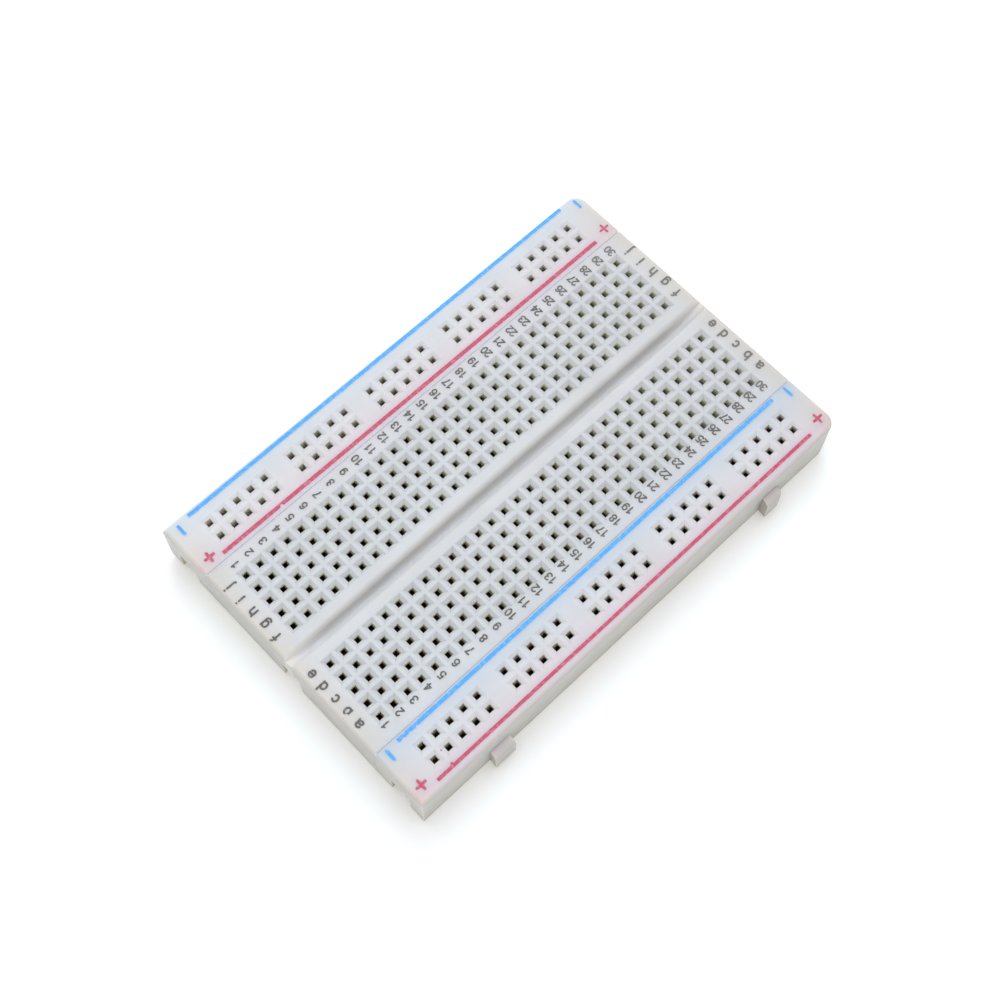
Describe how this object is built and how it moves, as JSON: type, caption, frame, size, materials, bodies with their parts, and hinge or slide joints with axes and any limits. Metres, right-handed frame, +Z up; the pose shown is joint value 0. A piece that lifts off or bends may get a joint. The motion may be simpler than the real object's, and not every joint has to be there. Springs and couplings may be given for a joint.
{
  "type": "solderless breadboard",
  "caption": "Half-size solderless breadboard: a terminal strip with a centre trough between two dovetailed bus strips, on an adhesive foam back.",
  "frame": {"origin": "centre of the tie-point grid (between rows 15 and 16, on the trough's centre line), on the face the board rests on", "axes": "+X along the rows from row 1 to row 30, +Y from column a to column j, +Z up out of the tie-point face"},
  "size_m": [0.0838, 0.0557, 0.0096],
  "materials": {
    "terminal_housing": "satin moulded ABS, slightly warm white",
    "bus_housing": "satin moulded ABS, slightly cool white",
    "contact_clip": "plain phosphor-bronze spring sheet, slightly dull",
    "foam_tape": "closed-cell foam tape",
    "release_liner": "smooth coated paper"
  },
  "bodies": {
    "j_side_bus_strip": {"j_side_bus_housing": "bus_housing", "j_side_bus_foam_tape": "foam_tape", "j_side_bus_release_liner": "release_liner", "j_side_plus_clip": "contact_clip", "j_side_minus_clip": "contact_clip"},
    "terminal_strip": {"terminal_strip_housing": "terminal_housing", "terminal_strip_foam_tape": "foam_tape", "terminal_strip_release_liner": "release_liner", "row_01_clips": "contact_clip", "row_02_clips": "contact_clip", "row_03_clips": "contact_clip", "row_04_clips": "contact_clip", "row_05_clips": "contact_clip", "row_06_clips": "contact_clip", "row_07_clips": "contact_clip", "row_08_clips": "contact_clip", "row_09_clips": "contact_clip", "row_10_clips": "contact_clip", "row_11_clips": "contact_clip", "row_12_clips": "contact_clip", "row_13_clips": "contact_clip", "row_14_clips": "contact_clip", "row_15_clips": "contact_clip", "row_16_clips": "contact_clip", "row_17_clips": "contact_clip", "row_18_clips": "contact_clip", "row_19_clips": "contact_clip", "row_20_clips": "contact_clip", "row_21_clips": "contact_clip", "row_22_clips": "contact_clip", "row_23_clips": "contact_clip", "row_24_clips": "contact_clip", "row_25_clips": "contact_clip", "row_26_clips": "contact_clip", "row_27_clips": "contact_clip", "row_28_clips": "contact_clip", "row_29_clips": "contact_clip", "row_30_clips": "contact_clip"},
    "a_side_bus_strip": {"a_side_bus_housing": "bus_housing", "a_side_bus_foam_tape": "foam_tape", "a_side_bus_release_liner": "release_liner", "a_side_minus_clip": "contact_clip", "a_side_plus_clip": "contact_clip"}
  },
  "joints": [
    {"name": "terminal_strip_lift", "type": "slide", "parent": "j_side_bus_strip", "child": "terminal_strip", "axis": [0, 0, 1], "range_m": [0, 0.012]},
    {"name": "a_side_bus_lift", "type": "slide", "parent": "terminal_strip", "child": "a_side_bus_strip", "axis": [0, 0, 1], "range_m": [0, 0.012]}
  ]
}
